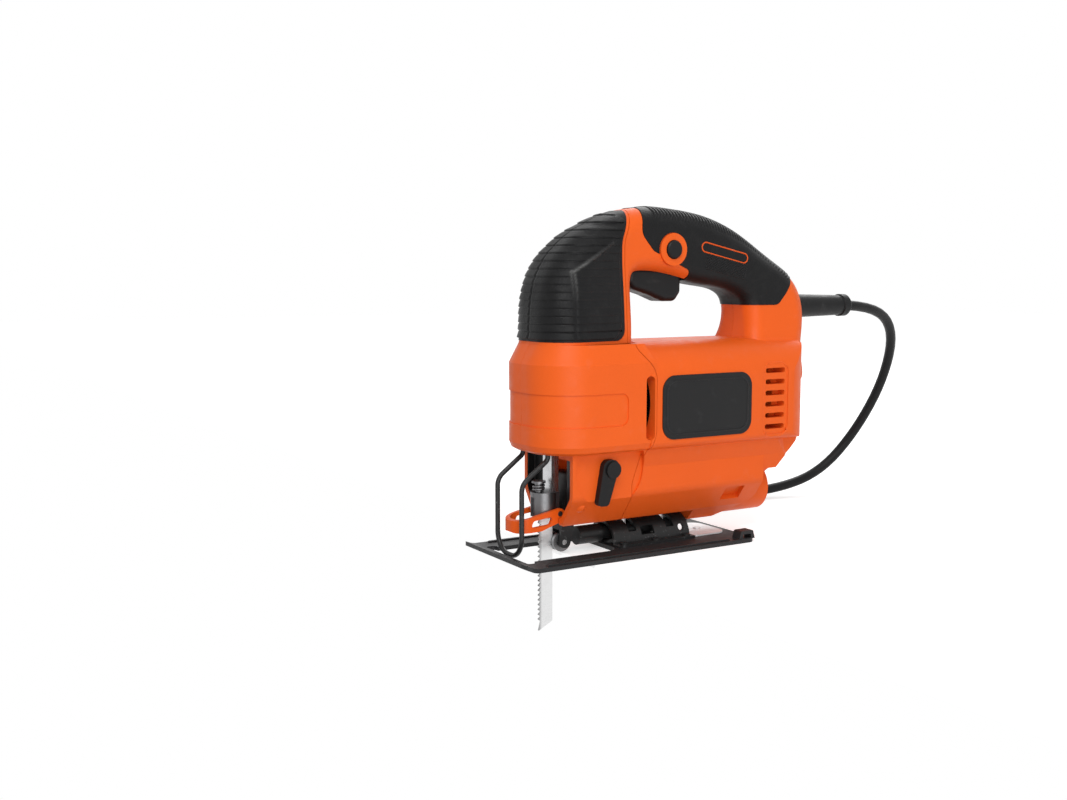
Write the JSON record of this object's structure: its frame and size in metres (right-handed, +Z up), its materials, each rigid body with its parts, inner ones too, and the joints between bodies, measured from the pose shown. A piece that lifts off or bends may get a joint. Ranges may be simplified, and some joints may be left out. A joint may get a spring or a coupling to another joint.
{
  "type": "corded jigsaw",
  "caption": "Corded jigsaw with a D-shaped rubber handle, motor housing, reciprocating blade, guide roller, tilting sole plate and wire finger guard.",
  "frame": {"origin": "centre of the sole plate's bottom face", "axes": "-X towards the blade and nose, +X towards the cord, -Y the tool's left side, +Z up"},
  "size_m": [0.3591, 0.2345, 0.2582],
  "materials": {
    "orange": "satin orange moulded plastic",
    "rubber": "soft black overmould",
    "black_plastic": "black moulded plastic",
    "steel": "ground steel",
    "lamination": "stacked laminations",
    "copper": "copper wire and bars",
    "carbon": "carbon",
    "brass": "brass",
    "aluminium": "die-cast",
    "zinc": "zinc-plated",
    "dark_steel": "blackened steel",
    "sole_paint": "dark grey painted steel",
    "cord_rubber": "black cord rubber"
  },
  "bodies": {
    "housing": {"front_cover_left": "orange", "front_cover_right": "orange", "main_housing_left": "orange", "main_housing_right": "orange", "front_column_left": "orange", "front_column_right": "orange", "handle_shell_left": "orange", "handle_shell_right": "orange", "front_grip_left": "rubber", "front_grip_right": "rubber", "handle_grip_left": "rubber", "handle_grip_right": "rubber", "badge_plate": "black_plastic", "field_core": "lamination", "field_coils": "copper", "front_bearing": "steel", "rear_bearing": "steel", "carbon_brushes": "carbon", "brush_holders": "brass", "gear_case": "aluminium", "gear_axle": "steel", "lower_bush": "brass", "upper_bush": "brass", "pendulum_pin": "steel", "switch_body": "black_plastic", "clamp_bar": "dark_steel", "bevel_screws": "zinc", "finger_guard": "dark_steel", "housing_screws": "zinc", "cord_boot": "cord_rubber", "cord_lead": "cord_rubber", "cord_coil": "cord_rubber", "cord_tie": "black_plastic", "plug_body": "cord_rubber", "plug_pins": "brass"},
    "sole": {"sole_plate": "sole_paint", "bevel_bracket": "dark_steel", "bracket_rivets": "zinc", "fence_plate": "zinc", "fence_screw": "dark_steel"},
    "armature": {"armature_shaft": "steel", "armature_core": "lamination", "armature_windings": "copper", "commutator": "copper", "fan": "black_plastic"},
    "gear": {"drive_gear": "steel", "crank_pin": "steel"},
    "plunger": {"plunger": "steel", "clamp_body": "zinc", "clamp_spring": "dark_steel", "blade": "steel"},
    "clamp_lever": {"clamp_lever": "orange"},
    "pendulum": {"pendulum_arm": "dark_steel", "roller_pin": "steel"},
    "guide_roller": {"guide_roller": "steel"},
    "selector": {"selector_lever": "black_plastic"},
    "trigger": {"trigger": "black_plastic"},
    "lock_button": {"lock_button": "orange"}
  },
  "joints": [
    {"name": "sole_bevel", "type": "hinge", "parent": "housing", "child": "sole", "pos_m": [0, 0, 0.003], "axis": [1, 0, 0], "range_deg": [-45, 45]},
    {"name": "plunger_stroke", "type": "slide", "parent": "housing", "child": "plunger", "axis": [0, 0, 1], "range_m": [-0.009, 0.009]},
    {"name": "clamp_lever_lift", "type": "hinge", "parent": "plunger", "child": "clamp_lever", "pos_m": [-0.045, 0, 0.0265], "axis": [0, 1, 0], "range_deg": [0, 40], "stiffness_Nm_per_rad": 0.02, "springref_deg": -17.19},
    {"name": "armature_spin", "type": "hinge", "parent": "housing", "child": "armature", "pos_m": [0, 0, 0.092], "axis": [1, 0, 0], "continuous": true},
    {"name": "gear_spin", "type": "hinge", "parent": "housing", "child": "gear", "pos_m": [-0.028, 0, 0.11563], "axis": [1, 0, 0], "continuous": true},
    {"name": "pendulum_swing", "type": "hinge", "parent": "housing", "child": "pendulum", "pos_m": [-0.033, 0, 0.046], "axis": [0, -1, 0], "range_deg": [0, 3]},
    {"name": "roller_spin", "type": "hinge", "parent": "pendulum", "child": "guide_roller", "pos_m": [-0.0389, 0, 0.0074], "axis": [0, 1, 0], "continuous": true},
    {"name": "selector_turn", "type": "hinge", "parent": "housing", "child": "selector", "pos_m": [-0.0204, -0.028, 0.054], "axis": [0, -1, 0], "range_deg": [0, 60]},
    {"name": "trigger_pull", "type": "slide", "parent": "housing", "child": "trigger", "axis": [0, 0, 1], "range_m": [0, 0.006], "stiffness_N_per_m": 900, "springref_m": -0.002},
    {"name": "lock_press", "type": "slide", "parent": "housing", "child": "lock_button", "axis": [0, 1, 0], "range_m": [0, 0.002], "stiffness_N_per_m": 400, "springref_m": -0.001}
  ],
  "couplings": [
    {"joint": "armature_spin", "follows": "gear_spin", "ratio": -6}
  ]
}
